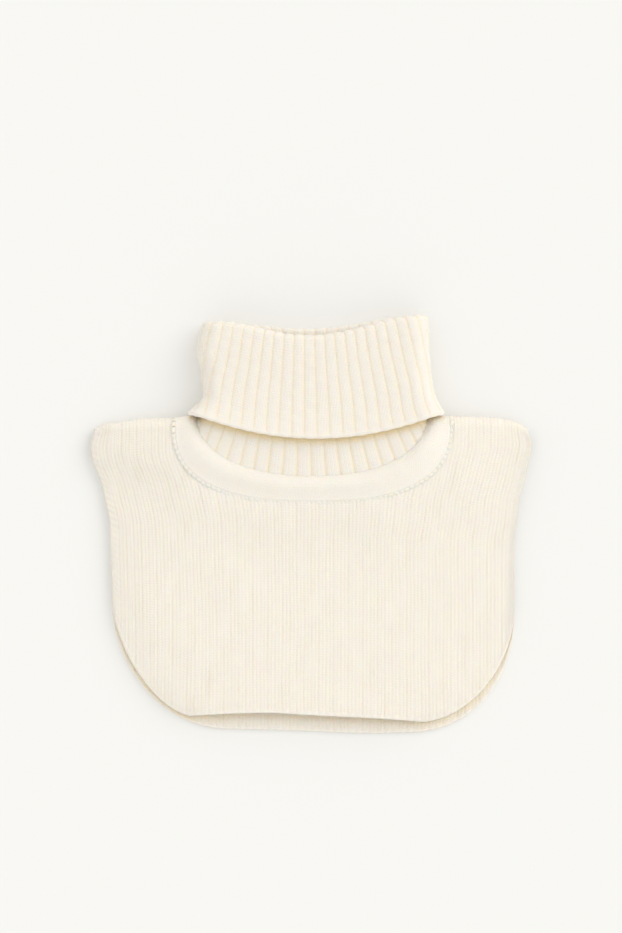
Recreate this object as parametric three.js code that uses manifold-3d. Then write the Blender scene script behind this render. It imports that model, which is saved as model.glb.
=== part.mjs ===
// A child's knitted turtleneck dickey, lying flat on its back, in millimetres.
// +X is to the right seen from above, +Y is towards the collar's rim, +Z is up from the surface.
import * as THREE from "three";
import Module from "manifold-3d";
import { mergeVertices } from "three/addons/utils/BufferGeometryUtils.js";

const wasm = await Module();
wasm.setup();

// Knitting
const BIB_WALL = 2.6;
const COLLAR_WALL = 3.0;
const RIB_COUNT = 44;
const RIB_DEPTH = 0.9;
const RIB_PARTS = [0, 0.24, 0.76]; // places across a rib, the first in its groove
const GAP = 0.4;

// Heights of the middle of the knitting above the surface
const BACK_Z = BIB_WALL / 2;
const FRONT_EDGE_Z = 4.4;
const FRONT_MIDDLE_Z = 9.4;
const FRONT_NECK_Z = 14.0;
const NECK_RISE_SPREAD = 0.45; // share of the neckline's size over which the front rises to it
const HOLLOW = { x: -104, y: 24, halfWidth: 26, halfHeight: 13, depth: 1.8 }; // below the left shoulder

// Side edges of both panels: a row for each height
const SIDE_EDGES = [
  { y: -45.6, left: -119.4, right: 121.8 },
  { y: -10.0, left: -120.6, right: 121.8 },
  { y: 2.4, left: -121.2, right: 123.6 },
  { y: 14.4, left: -123.6, right: 124.8 },
  { y: 26.4, left: -126.6, right: 127.8 },
  { y: 38.4, left: -131.2, right: 130.4 },
  { y: 47.0, left: -132.2, right: 132.2 },
  { y: 56.0, left: -130.4, right: 130.6 },
];
const EDGE_INSET = BIB_WALL / 2; // the middle of the wall lies this far inside the outline
const LEFT_EDGE = SIDE_EDGES[0].left + EDGE_INSET;
const RIGHT_EDGE = SIDE_EDGES[0].right - EDGE_INSET;
const LEAN_START = 0.6; // share of the half width where the ribs take the full lean of the side edge

// Shoulder fold seen from above: a row for each place along it
const SHOULDER_LINE = [
  { x: -133.0, y: 54.0 },
  { x: -129.0, y: 57.4 },
  { x: -123.6, y: 60.2 },
  { x: -114.6, y: 61.4 },
  { x: -96.6, y: 63.6 },
  { x: 0.0, y: 64.6 },
  { x: 101.4, y: 64.4 },
  { x: 119.4, y: 62.4 },
  { x: 128.4, y: 58.0 },
  { x: 133.0, y: 54.0 },
];
const SHOULDER_TURN = 16; // from the fold back to the shoulder seam

// Hems: the bottom edge between the corners, and the two round corners
const FRONT_HEM = {
  left: { x: -72.0, y: -45.6, blunt: 1.6 },
  right: { x: 66.0, y: -51.6, blunt: 1.85 },
  bottom: [
    { x: -72.0, y: -114.6 },
    { x: -28.0, y: -113.0 },
    { x: 0.0, y: -114.4 },
    { x: 40.0, y: -116.4 },
    { x: 66.0, y: -118.2 },
  ],
};
const BACK_HEM = {
  left: { x: -50.0, y: -45.6, blunt: 1.95 },
  right: { x: 56.0, y: -52.0, blunt: 2.2 },
  bottom: [
    { x: -50.0, y: -122.8 },
    { x: -10.0, y: -123.8 },
    { x: 32.0, y: -125.4 },
    { x: 56.0, y: -125.0 },
  ],
};

// Rings round the neck, each the middle of the knitting. Columns: height at the sides, how much higher the
// right side is than the centre, drop at the centre front and centre back, sides across, heights of the
// front and back layers above the surface, the exponents of the dip's shape, and how much wider the ribs
// are at the front than on average.
const RING_COLUMNS = [
  "side", "tilt", "frontDrop", "backDrop", "left", "right", "frontZ", "backZ", "blunt", "power", "widen",
];
const ring = (...values) => Object.fromEntries(RING_COLUMNS.map((column, i) => [column, values[i]]));
const NECK_SEAM = ring(61.5, 0, 48, 28, -82, 83.6, 14, 1.5, 2.6, 0.385, 0);
const STAND_ROWS = [
  ring(62.5, 0, 34.5, 17.5, -69.4, 70.2, 15.6, 2.8, 2.2, 0.45, 0.19),
  ring(69, 0, 29, 16, -60, 66, 17, 4.9, 2.1, 0.7, 0.25),
  ring(77, 0, 24, 14, -56, 63.5, 17.5, 5.4, 2, 1, 0.23),
  ring(99, 0.6, 17, 11, -60.5, 64.5, 17.6, 5.4, 2, 1.5, 0.07),
  ring(119.8, 2.1, 10, 5.8, -60.6, 64.8, 17.2, 5.4, 2, 2.2, -0.08),
];
const FOLD_ROWS = [
  ring(119.8, 2.1, 10, 5.8, -64.5, 68.7, 21.1, 1.5, 2, 2.2, -0.08),
  ring(101, 0.6, 14, 7, -66.6, 69.8, 21.6, 1.5, 2, 1.5, -0.01),
  ring(85, 0, 15, 8, -63.8, 71.4, 21.6, 1.5, 2, 1.1, 0.085),
  ring(76, 0, 15, 8, -63.4, 73.4, 21.9, 1.5, 2, 1, 0.1),
  ring(66.6, 0, 14, 7, -72.3, 78.6, 23.6, 1.5, 2, 1, 0.02),
];
const RIB_START = -4.2; // the collar's ribs are counted from here at the centre front
const BAND_CROWN = 2.4;
const CROWN_LEAN = 1.7; // over 1, the band's crest lies nearer the stand than the seam
const FACING_UP = 0.8; // the band has its full crown where its normal points up by at least this much
const BAND_COLUMNS = 56;
const BAND_INNER_STOP = 2.25; // the band stops this far short of the stand's base

const FRONT_SHARE = 0.7; // of the front panel's rows, up to the shoulder fold
const TURN_SHARE = 0.2; // of its rows, round the fold
const LEAN_TOP = 47; // above this height only the ribs next to the side edge follow it
const OUTER_RIBS = 0.85; // share of the half width where those ribs start
const FOLD_BLEND = 14; // the front panel takes the fold's height over this length below it
const SHOULDER_TIP = 56; // height where the outermost ribs reach the shoulder fold
const TIP_RADIUS = 2.4; // the tightest that the cloth turns over the shoulder

const clamp01 = (value) => Math.min(1, Math.max(0, value));
const smooth = (value) => clamp01(value) ** 2 * (3 - 2 * clamp01(value));

// A smooth curve through a table's rows, read at a place in its key column
function readTable(rows, key, place, column) {
  const last = rows.length - 1;
  const at = THREE.MathUtils.clamp(place, rows[0][key], rows[last][key]);
  const after = Math.max(1, rows.findIndex((row) => row[key] >= at));
  const [low, high] = [rows[after - 1], rows[after]];
  const slope = (i) => {
    const [a, b] = [rows[Math.max(0, i - 1)], rows[Math.min(last, i + 1)]];
    return (b[column] - a[column]) / (b[key] - a[key]);
  };
  const span = high[key] - low[key];
  const t = (at - low[key]) / span;
  return (
    low[column] * (1 + 2 * t) * (1 - t) ** 2 +
    slope(after - 1) * span * t * (1 - t) ** 2 +
    high[column] * t ** 2 * (3 - 2 * t) +
    slope(after) * span * t ** 2 * (t - 1)
  );
}

// Place of a side edge at a height
function sideEdge(isLeft, y) {
  if (isLeft) return readTable(SIDE_EDGES, "y", y, "left") + EDGE_INSET;
  return readTable(SIDE_EDGES, "y", y, "right") - EDGE_INSET;
}

// Height of a hem at a place across the panel
function hemLine(hem, x) {
  const isLeft = x < hem.left.x;
  const corner = isLeft ? hem.left : hem.right;
  const bottom = readTable(hem.bottom, "x", x, "y") + EDGE_INSET;
  if (!isLeft && x <= hem.right.x) return bottom;
  const width = Math.abs((isLeft ? LEFT_EDGE : RIGHT_EDGE) - corner.x);
  const depth = corner.y - bottom;
  const across = clamp01(Math.abs(x - corner.x) / width);
  return corner.y - depth * (1 - across ** corner.blunt) ** (1 / corner.blunt);
}

// Half width of the panel at a height, on the side that a point lies on
function sideReach(hem, isLeft, y) {
  const corner = isLeft ? hem.left : hem.right;
  if (y >= corner.y) return Math.abs(sideEdge(isLeft, y));
  const depth = corner.y - readTable(hem.bottom, "x", corner.x, "y") - EDGE_INSET;
  const width = Math.abs((isLeft ? LEFT_EDGE : RIGHT_EDGE) - corner.x);
  const down = clamp01((corner.y - y) / depth);
  return Math.abs(corner.x) + width * (1 - down ** corner.blunt) ** (1 / corner.blunt);
}

// Place across of the rib line that starts at x = column by the hem
function ribLine(column, y) {
  const isLeft = column < 0;
  const edge = isLeft ? LEFT_EDGE : RIGHT_EDGE;
  const lean = sideEdge(isLeft, Math.min(y, LEAN_TOP));
  const share = column / edge;
  const inner = (lean - edge) * smooth(share / LEAN_START);
  const outer = (sideEdge(isLeft, y) - lean) * smooth((share - OUTER_RIBS) / (1 - OUTER_RIBS));
  return column + inner + outer;
}

// Distance from the middle of the neckline, 1 on the neck seam
function neckShare(x, y) {
  const across = Math.abs(x) / (x < 0 ? -NECK_SEAM.left : NECK_SEAM.right);
  const down = Math.max(0, NECK_SEAM.side - y) / NECK_SEAM.frontDrop;
  return (across ** NECK_SEAM.blunt + down ** NECK_SEAM.blunt) ** (1 / NECK_SEAM.blunt);
}

// Height of the front panel's middle above the surface
function frontHeight(x, y) {
  const sideShare = clamp01(Math.abs(x) / sideReach(FRONT_HEM, x < 0, y));
  const body = FRONT_EDGE_Z + (FRONT_MIDDLE_Z - FRONT_EDGE_Z) * (1 - sideShare ** 4);
  const away = Math.max(0, neckShare(x, y) - 1) / NECK_RISE_SPREAD;
  const rise = (FRONT_NECK_Z - FRONT_MIDDLE_Z) * Math.exp(-(away ** 2));
  const fromMiddle = ((x - HOLLOW.x) / HOLLOW.halfWidth) ** 2 + ((y - HOLLOW.y) / HOLLOW.halfHeight) ** 2;
  return body + rise - HOLLOW.depth * Math.exp(-fromMiddle);
}

// The front panel runs up the front, over the shoulder fold and down to the shoulder seam
function frontSheet(column, along) {
  const hem = hemLine(FRONT_HEM, column);
  const top = ribLine(column, SHOULDER_TIP);
  const fold = readTable(SHOULDER_LINE, "x", top, "y") - EDGE_INSET;
  const thick = frontHeight(top, fold - (FRONT_NECK_Z - BACK_Z) / 2) - BACK_Z;
  const radius = Math.max(TIP_RADIUS, thick / 2);
  const turn = fold - radius;
  if (along <= FRONT_SHARE) {
    const y = hem + ((turn - hem) * along) / FRONT_SHARE;
    const x = ribLine(column, y);
    const blendIn = smooth((y - turn + FOLD_BLEND) / FOLD_BLEND);
    const z = frontHeight(x, y) * (1 - blendIn) + (BACK_Z + 2 * radius) * blendIn;
    return new THREE.Vector3(x, y, z);
  }
  const angle = (Math.PI * (along - FRONT_SHARE)) / TURN_SHARE;
  if (angle < Math.PI) {
    return new THREE.Vector3(top, turn + radius * Math.sin(angle), BACK_Z + radius * (1 + Math.cos(angle)));
  }
  const rest = (along - FRONT_SHARE - TURN_SHARE) / (1 - FRONT_SHARE - TURN_SHARE);
  return new THREE.Vector3(top, turn + (fold + 2 * EDGE_INSET - SHOULDER_TURN - turn) * rest, BACK_Z);
}

// The back panel lies flat between its hem and the shoulder seam
function backSheet(column, along) {
  const hem = hemLine(BACK_HEM, column);
  const top = ribLine(column, SHOULDER_TIP);
  const seam = readTable(SHOULDER_LINE, "x", top, "y") - SHOULDER_TURN - 2 * GAP - EDGE_INSET;
  const y = hem + (seam - hem) * along;
  return new THREE.Vector3(ribLine(column, y), y, BACK_Z);
}

// Unit normal of a surface given by a function of two values
function normalOf(surface, a, b, step) {
  const alongA = surface(a + step, b).sub(surface(a - step, b));
  const alongB = surface(a, b + step).sub(surface(a, b - step));
  return alongA.cross(alongB).normalize();
}

function bufferGeometry(points, faces) {
  const geometry = new THREE.BufferGeometry();
  geometry.setAttribute("position", new THREE.Float32BufferAttribute(points.flatMap((p) => p.toArray()), 3));
  geometry.setIndex(faces.flat());
  return geometry;
}

// A closed wall round a sheet: its top, its underside and a rounded edge all round
function wallOfSheet(sheet, columns, rows, wall) {
  const points = [];
  const faces = [];
  const width = columns.length;
  const height = rows.length;
  const step = 1e-3;
  const inside = (value, list) => THREE.MathUtils.clamp(value, list[0] + step, list[list.length - 1] - step);
  for (const side of [1, -1]) {
    for (const row of rows) {
      for (const column of columns) {
        const normal = normalOf(sheet, inside(column, columns), inside(row, rows), step);
        points.push(sheet(column, row).addScaledVector(normal, (side * wall) / 2));
      }
    }
  }
  const at = (side, i, j) => side * width * height + j * width + i;
  const quad = (a, b, c, d) => faces.push([a, b, c], [a, c, d]);
  for (let j = 0; j < height - 1; j += 1) {
    for (let i = 0; i < width - 1; i += 1) {
      quad(at(0, i, j), at(0, i + 1, j), at(0, i + 1, j + 1), at(0, i, j + 1));
      quad(at(1, i, j), at(1, i, j + 1), at(1, i + 1, j + 1), at(1, i + 1, j));
    }
  }
  const border = [];
  for (let i = 0; i < width - 1; i += 1) border.push([i, 0]);
  for (let j = 0; j < height - 1; j += 1) border.push([width - 1, j]);
  for (let i = width - 1; i > 0; i -= 1) border.push([i, height - 1]);
  for (let j = height - 1; j > 0; j -= 1) border.push([0, j]);
  const first = points.length;
  border.forEach(([i, j], k) => {
    const [beforeI, beforeJ] = border[(k + border.length - 1) % border.length];
    const [afterI, afterJ] = border[(k + 1) % border.length];
    const tangent = points[at(0, afterI, afterJ)].clone().sub(points[at(0, beforeI, beforeJ)]);
    const up = points[at(0, i, j)].clone().sub(points[at(1, i, j)]);
    const out = tangent.cross(up).normalize();
    const middle = points[at(0, i, j)].clone().add(points[at(1, i, j)]).multiplyScalar(0.5);
    points.push(middle.addScaledVector(out, wall / 2));
  });
  border.forEach(([i, j], k) => {
    const next = (k + 1) % border.length;
    const [ni, nj] = border[next];
    quad(at(0, i, j), first + k, first + next, at(0, ni, nj));
    quad(first + k, at(1, i, j), at(1, ni, nj), first + next);
  });
  return bufferGeometry(points, faces);
}

// A closed wall swept round the neck: profile places in order round the wall's section
function wallOfRing(profile, turns) {
  const points = [];
  const faces = [];
  const count = profile.length;
  turns.forEach((turn) => profile.forEach((place) => points.push(place(turn))));
  turns.forEach((_, i) => {
    const next = (i + 1) % turns.length;
    for (let j = 0; j < count; j += 1) {
      const up = (j + 1) % count;
      const [a, b, c, d] = [i * count + j, next * count + j, next * count + up, i * count + up];
      faces.push([a, c, b], [a, d, c]);
    }
  });
  return bufferGeometry(points, faces);
}

// One ring round the neck as a closed line, a flattened tube whose sides turn on half circles
const LOOP_STEPS = 40;
const SIDE_ROUNDING = 0.12;
const FLAT_SHARE = 0.8; // of each quarter's points, before the turn at the side
function neckLoop(row) {
  const centre = (row.left + row.right) / 2;
  const half = (row.right - row.left) / 2;
  const radius = (row.frontZ - row.backZ) / 2;
  const middleZ = (row.frontZ + row.backZ) / 2;
  const deepest = Math.hypot(1, SIDE_ROUNDING) - SIDE_ROUNDING;
  const points = [];
  for (let i = 0; i < 4 * LOOP_STEPS; i += 1) {
    const quarter = Math.floor(i / LOOP_STEPS);
    const part = (i % LOOP_STEPS) / LOOP_STEPS;
    const out = quarter % 2 === 0 ? part : 1 - part;
    const flat = clamp01(out / FLAT_SHARE);
    const bend = (clamp01((out - FLAT_SHARE) / (1 - FLAT_SHARE)) * Math.PI) / 2;
    const reach = (half - radius) * flat + radius * Math.sin(bend);
    const face = quarter === 0 || quarter === 3 ? 1 : -1;
    const handed = quarter < 2 ? 1 : -1;
    const share = clamp01(reach / half);
    const dip = (1 - share ** row.blunt) ** row.power;
    const eased = (Math.hypot(dip, SIDE_ROUNDING) - SIDE_ROUNDING) / deepest;
    const drop = (face > 0 ? row.frontDrop : row.backDrop) * eased;
    const y = row.side + handed * share * row.tilt - drop;
    points.push(new THREE.Vector3(centre + handed * reach, y, middleZ + face * radius * Math.cos(bend)));
  }
  return points;
}

// The neckline's edge as a closed line, over both shoulder folds
function seamLoop() {
  const { side, left, right, frontZ, backZ, frontDrop, backDrop, blunt } = NECK_SEAM;
  const radius = (frontZ - backZ) / 2;
  const quarter = (edge, face, drop) => {
    const turn = readTable(SHOULDER_LINE, "x", edge, "y") - EDGE_INSET - radius;
    const angles = Array.from({ length: LOOP_STEPS }, (_, i) => (Math.PI * i) / LOOP_STEPS / 2);
    const flat = angles.map((angle) => {
      const y = side - drop * Math.cos(angle) ** (2 / blunt);
      const over = Math.asin(clamp01((y - turn) / radius));
      return [edge * Math.sin(angle) ** (2 / blunt), y, over];
    });
    const last = Math.asin(clamp01((side - turn) / radius));
    const arc = [0, 0.25, 0.5, 0.75, 1].map((part) => last + (Math.PI / 2 - last) * part);
    const points = [...flat, ...arc.map((over) => [edge, turn + radius * Math.sin(over), over])];
    return points.map(([x, y, over]) => {
      return new THREE.Vector3(x, y, (frontZ + backZ) / 2 + face * radius * Math.cos(over));
    });
  };
  const inOrder = [
    quarter(right, 1, frontDrop),
    quarter(right, -1, backDrop).reverse(),
    quarter(left, -1, backDrop),
    quarter(left, 1, frontDrop).reverse(),
  ];
  return inOrder.flatMap((points) => points.slice(0, -1));
}

// Point of a loop at a share of its length, counted from the first rib of the front towards +X
function alongLoop(loop, widen) {
  const lengths = [0];
  loop.forEach((point, i) => lengths.push(lengths[i] + point.distanceTo(loop[(i + 1) % loop.length])));
  const total = lengths[loop.length];
  const after = loop.findLastIndex((point) => point.x < RIB_START) + 1;
  const [left, right] = [loop[after - 1].x, loop[after % loop.length].x];
  const part = (RIB_START - left) / (right - left);
  const start = lengths[after - 1] + (lengths[after] - lengths[after - 1]) * part;
  return (turn) => {
    const widened = turn + (widen * Math.sin(2 * Math.PI * turn)) / (2 * Math.PI);
    const want = ((((start / total + widened) % 1) + 1) % 1) * total;
    const next = Math.min(loop.length, Math.max(1, lengths.findIndex((length) => length > want)));
    const share = (want - lengths[next - 1]) / (lengths[next] - lengths[next - 1]);
    return loop[next - 1].clone().lerp(loop[next % loop.length], share);
  };
}

// A surface through rings, smooth from ring to ring
function ringSurface(rows) {
  const loops = rows.map((row) => alongLoop(neckLoop(row), row.widen));
  return (turn, place) => {
    const last = loops.length - 1;
    const i = THREE.MathUtils.clamp(Math.floor(place), 0, last - 1);
    const near = [i - 1, i, i + 1, i + 2].map((k) => loops[THREE.MathUtils.clamp(k, 0, last)](turn));
    const curve = new THREE.CatmullRomCurve3(near, false, "catmullrom", 0.5);
    return curve.getPoint((1 + place - i) / 3);
  };
}

// Rings of the rim: a half circle from the top of the stand out to the top of the fold
function rimRows() {
  const [inner, outer] = [STAND_ROWS[STAND_ROWS.length - 1], FOLD_ROWS[0]];
  const radius = (outer.frontZ - inner.frontZ) / 2;
  return [0.25, 0.5, 0.75].map((part) => {
    const share = (1 - Math.cos(Math.PI * part)) / 2;
    const row = {};
    for (const key of Object.keys(inner)) row[key] = inner[key] + (outer[key] - inner[key]) * share;
    row.side += radius * Math.sin(Math.PI * part);
    return row;
  });
}

// The collar: the ribbed stand and its turned-down fold in one wall
function collarGeometry() {
  const rows = [...STAND_ROWS, ...rimRows(), ...FOLD_ROWS];
  const surface = ringSurface(rows);
  const last = rows.length - 1;
  const step = 1e-3;
  const place = (row, side, past) => (turn) => {
    const inner = THREE.MathUtils.clamp(row, step, last - step);
    const normal = normalOf(surface, turn, inner, step);
    const along = surface(turn, inner + step).sub(surface(turn, inner - step)).normalize();
    const groove = Math.abs(turn * RIB_COUNT - Math.round(turn * RIB_COUNT)) < step;
    const depth = groove && side !== 0 ? RIB_DEPTH : 0;
    return surface(turn, row)
      .addScaledVector(normal, side * (COLLAR_WALL / 2 - depth))
      .addScaledVector(along, past);
  };
  const rim = STAND_ROWS.length + 1;
  const hollowFace = rows.map((_, i) => place(i, -1, 0));
  const skinRows = rows.map((_, i) => i).filter((i) => Math.abs(i - rim) !== 1);
  const skinFace = skinRows.map((i) => place(i, 1, 0)).reverse();
  const [hem, base] = [place(last, 0, COLLAR_WALL / 2), place(0, 0, -COLLAR_WALL / 2)];
  const profile = [...hollowFace, hem, ...skinFace, base];
  const turns = [];
  for (let rib = 0; rib < RIB_COUNT; rib += 1) {
    for (const part of RIB_PARTS) turns.push((rib + part) / RIB_COUNT);
  }
  return wallOfRing(profile, turns);
}

// The jersey band: a convex strip from the neck seam to the stand's base
function bandGeometry() {
  const seam = alongLoop(seamLoop(), 0);
  const base = alongLoop(neckLoop({ ...STAND_ROWS[0], backZ: COLLAR_WALL / 2 }), 0);
  const strip = (turn, part) => {
    const [from, to] = [seam(turn), base(turn)];
    const stop = 1 - BAND_INNER_STOP / from.distanceTo(to);
    return from.lerp(to, part * stop);
  };
  const step = 1e-3;
  const place = (part, side) => (turn) => {
    const normal = normalOf(strip, turn, THREE.MathUtils.clamp(part, step, 1 - step), step);
    const crown = BAND_CROWN * smooth(normal.z / FACING_UP) * Math.sin(Math.PI * part ** CROWN_LEAN);
    return strip(turn, part).addScaledVector(normal, crown + (side * COLLAR_WALL) / 2);
  };
  const parts = [0.04, 0.32, 0.62, 0.84, 0.97];
  const profile = [
    ...parts.map((part) => place(part, -1)),
    place(1, 0),
    ...parts.map((part) => place(part, 1)).reverse(),
    place(0, 0),
  ];
  const turns = Array.from({ length: BAND_COLUMNS }, (_, i) => i / BAND_COLUMNS);
  return wallOfRing(profile, turns);
}

function solidOf(geometry) {
  const merged = mergeVertices(geometry, 1e-4);
  const mesh = new wasm.Mesh({
    numProp: 3,
    vertProperties: new Float32Array(merged.attributes.position.array),
    triVerts: new Uint32Array(merged.index.array),
  });
  return new wasm.Manifold(mesh);
}

function geometryOf(solid) {
  const mesh = solid.getMesh();
  const geometry = new THREE.BufferGeometry();
  geometry.setAttribute("position", new THREE.BufferAttribute(new Float32Array(mesh.vertProperties), 3));
  geometry.setIndex(new THREE.BufferAttribute(new Uint32Array(mesh.triVerts), 1));
  return geometry;
}

const CUT_MARGIN = 40; // the cut runs this far past the panels
const CUT_STEPS = 36;
// What the neckline takes out of the panels: one prism above the turn's middle, one below it
function neckCut(drop, lowZ, highZ) {
  const outline = new THREE.Shape();
  const reach = { left: NECK_SEAM.left - 2 * GAP, right: NECK_SEAM.right + 2 * GAP };
  const side = NECK_SEAM.side;
  outline.moveTo(reach.right, side + CUT_MARGIN);
  for (let i = 0; i <= CUT_STEPS; i += 1) {
    const angle = (Math.PI * i) / CUT_STEPS;
    const across = Math.sign(Math.cos(angle)) * Math.abs(Math.cos(angle)) ** (2 / NECK_SEAM.blunt);
    const down = Math.sin(angle) ** (2 / NECK_SEAM.blunt);
    const x = across > 0 ? across * reach.right : -across * reach.left;
    outline.lineTo(x, side - (drop + 2 * GAP) * down);
  }
  outline.lineTo(reach.left, side + CUT_MARGIN);
  const geometry = new THREE.ExtrudeGeometry(outline, { depth: highZ - lowZ, bevelEnabled: false });
  geometry.deleteAttribute("normal");
  geometry.deleteAttribute("uv");
  geometry.translate(0, 0, lowZ);
  return solidOf(geometry);
}

function cutNeck(geometry) {
  const split = (NECK_SEAM.frontZ + NECK_SEAM.backZ) / 2;
  const above = neckCut(NECK_SEAM.frontDrop, split, split + CUT_MARGIN);
  const below = neckCut(NECK_SEAM.backDrop, split - CUT_MARGIN, split);
  return geometryOf(solidOf(geometry).subtract(above.add(below)));
}

const FRONT_COLUMNS = 28;
const BACK_COLUMNS = 20;
const FRONT_ROWS = [
  0, 0.08, 0.18, 0.28, 0.36, 0.43, 0.49, 0.54, 0.59, 0.64, 0.67, 0.7, 0.74, 0.78, 0.82, 0.86, 0.9, 1,
];
const BACK_ROWS = [0, 0.125, 0.25, 0.375, 0.5, 0.625, 0.75, 0.875, 1];
const CROWDING = 0.3; // how far the columns crowd towards the side edges
// Columns across a panel, closer together towards its side edges
function panelColumns(count) {
  const centre = (LEFT_EDGE + RIGHT_EDGE) / 2;
  const half = (RIGHT_EDGE - LEFT_EDGE) / 2;
  return Array.from({ length: count + 1 }, (_, i) => {
    const share = (2 * i) / count - 1;
    return centre + half * ((1 - CROWDING) * share + CROWDING * Math.sin((Math.PI * share) / 2));
  });
}

function frontGeometry() {
  return cutNeck(wallOfSheet(frontSheet, panelColumns(FRONT_COLUMNS), FRONT_ROWS, BIB_WALL));
}

function backGeometry() {
  return cutNeck(wallOfSheet(backSheet, panelColumns(BACK_COLUMNS), BACK_ROWS, BIB_WALL));
}

function mesh(name, geometry, color) {
  const material = new THREE.MeshStandardMaterial({ color, roughness: 0.95, metalness: 0 });
  const piece = new THREE.Mesh(geometry, material);
  piece.name = name;
  return piece;
}

const group = new THREE.Group();
group.add(mesh("bib_front", frontGeometry(), 0xf6efe2));
group.add(mesh("bib_back", backGeometry(), 0xefe7d8));
group.add(mesh("neck_band", bandGeometry(), 0xf8f2e4));
group.add(mesh("collar", collarGeometry(), 0xf8f2e6));

export default group;
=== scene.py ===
# A child's knitted turtleneck dickey in cream wool, lying flat on its back on a pale surface.
# Lengths are in millimetres until a piece is put in the scene, which is in metres.
import math

import bmesh
import bpy
import numpy as np
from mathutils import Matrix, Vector


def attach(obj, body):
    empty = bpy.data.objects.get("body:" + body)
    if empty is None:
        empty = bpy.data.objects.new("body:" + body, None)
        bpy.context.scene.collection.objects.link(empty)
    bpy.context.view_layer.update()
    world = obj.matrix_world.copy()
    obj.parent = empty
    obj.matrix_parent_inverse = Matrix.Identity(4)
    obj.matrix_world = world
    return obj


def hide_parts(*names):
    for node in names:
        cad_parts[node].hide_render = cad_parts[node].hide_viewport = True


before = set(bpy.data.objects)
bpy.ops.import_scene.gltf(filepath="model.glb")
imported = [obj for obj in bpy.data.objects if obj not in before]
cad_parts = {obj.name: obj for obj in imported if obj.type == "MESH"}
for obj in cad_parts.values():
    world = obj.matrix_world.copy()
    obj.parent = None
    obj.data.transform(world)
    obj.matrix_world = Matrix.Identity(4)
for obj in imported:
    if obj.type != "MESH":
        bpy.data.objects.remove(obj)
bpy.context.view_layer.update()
MM = 0.001

# Knitting
BIB_WALL = 2.6
COLLAR_WALL = 3.0
ROW_HEIGHT = 1.55
BIB_RIB = 4.38
COLLAR_RIBS = 44

# Heights of the middle of the knitting above the surface
BACK_Z = BIB_WALL / 2
FRONT_LOWEST_Z = 4.15
FRONT_EDGE_Z = 4.4
FRONT_MIDDLE_Z = 9.4
FRONT_NECK_Z = 14.0

# Side edges of both panels. Columns: height, left edge, right edge
SIDE_EDGES = np.array([
    (-45.6, -119.4, 121.8),
    (-10.0, -120.6, 121.8),
    (2.4, -121.2, 123.6),
    (14.4, -123.6, 124.8),
    (26.4, -126.6, 127.8),
    (38.4, -131.2, 130.4),
    (47.0, -132.2, 132.2),
    (56.0, -129.8, 130.2),
])
LEFT_EDGE, RIGHT_EDGE = SIDE_EDGES[0, 1:]
LEAN_START = 0.6
LEAN_TOP = 47.0
OUTER_RIBS = 0.85

# Shoulder fold seen from above. Columns: place across, height
SHOULDER_LINE = np.array([
    (-133.0, 54.0),
    (-129.0, 57.4),
    (-123.6, 60.2),
    (-114.6, 61.4),
    (-96.6, 63.6),
    (0.0, 64.6),
    (101.4, 64.4),
    (119.4, 62.4),
    (128.4, 58.0),
    (133.0, 54.0),
])
SHOULDER_TURN = 16.0
SHOULDER_TIP = 56.0
TIP_RADIUS = 2.4
FOLD_BLEND = 14.0

# Hems: two round corners as (x, y, bluntness), and the edge between them as rows of (x, y)
FRONT_HEM = {
    "left": (-72.0, -45.6, 1.6),
    "right": (66.0, -51.6, 1.85),
    "bottom": np.array([(-72.0, -114.6), (-28.0, -113.0), (0.0, -114.4), (40.0, -116.4), (66.0, -118.2)]),
}
BACK_HEM = {
    "left": (-50.0, -45.6, 1.95),
    "right": (56.0, -52.0, 2.2),
    "bottom": np.array([(-50.0, -122.8), (-10.0, -123.8), (32.0, -125.4), (56.0, -125.0)]),
}

# Rings round the neck, each the middle of the knitting. Columns: height at the sides, how much higher the
# right side is than the centre, drop at the centre front and centre back, left and right side, heights of
# the front and back layers, the two exponents of the dip's shape, and how much wider ribs are at the front
RING_COLUMNS = [
    "side", "tilt", "front_drop", "back_drop", "left", "right",
    "front_z", "back_z", "blunt", "power", "widen",
]
RIB_START = -4.2


def ring(*values):
    return dict(zip(RING_COLUMNS, values))


NECK_SEAM = ring(61.5, 0, 48, 28, -82, 83.6, 14, 1.5, 2.6, 0.385, 0)
STAND_ROWS = [
    ring(62.5, 0, 34.5, 17.5, -69.4, 70.2, 15.6, 2.8, 2.2, 0.45, 0.19),
    ring(69, 0, 29, 16, -60, 66, 17, 4.9, 2.1, 0.7, 0.25),
    ring(77, 0, 24, 14, -56, 63.5, 17.5, 5.4, 2, 1, 0.23),
    ring(99, 0.6, 17, 11, -60.5, 64.5, 17.6, 5.4, 2, 1.5, 0.07),
    ring(119.8, 2.1, 10, 5.8, -60.6, 64.8, 17.2, 5.4, 2, 2.2, -0.08),
]
FOLD_ROWS = [
    ring(119.8, 2.1, 10, 5.8, -64.5, 68.7, 21.1, 1.5, 2, 2.2, -0.08),
    ring(101, 0.6, 14, 7, -66.6, 69.8, 21.6, 1.5, 2, 1.5, -0.01),
    ring(85, 0, 15, 8, -63.8, 71.4, 21.6, 1.5, 2, 1.1, 0.085),
    ring(76, 0, 15, 8, -63.4, 73.4, 21.9, 1.5, 2, 1, 0.1),
    ring(66.6, 0, 14, 7, -72.3, 78.6, 23.6, 1.5, 2, 1, 0.02),
]
BAND_CROWN = 2.6
CROWN_LEAN = 1.8
FACING_UP = 0.8
BAND_INNER_STOP = -0.6


def smooth(value):
    t = np.clip(value, 0, 1)
    return t * t * (3 - 2 * t)


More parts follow.
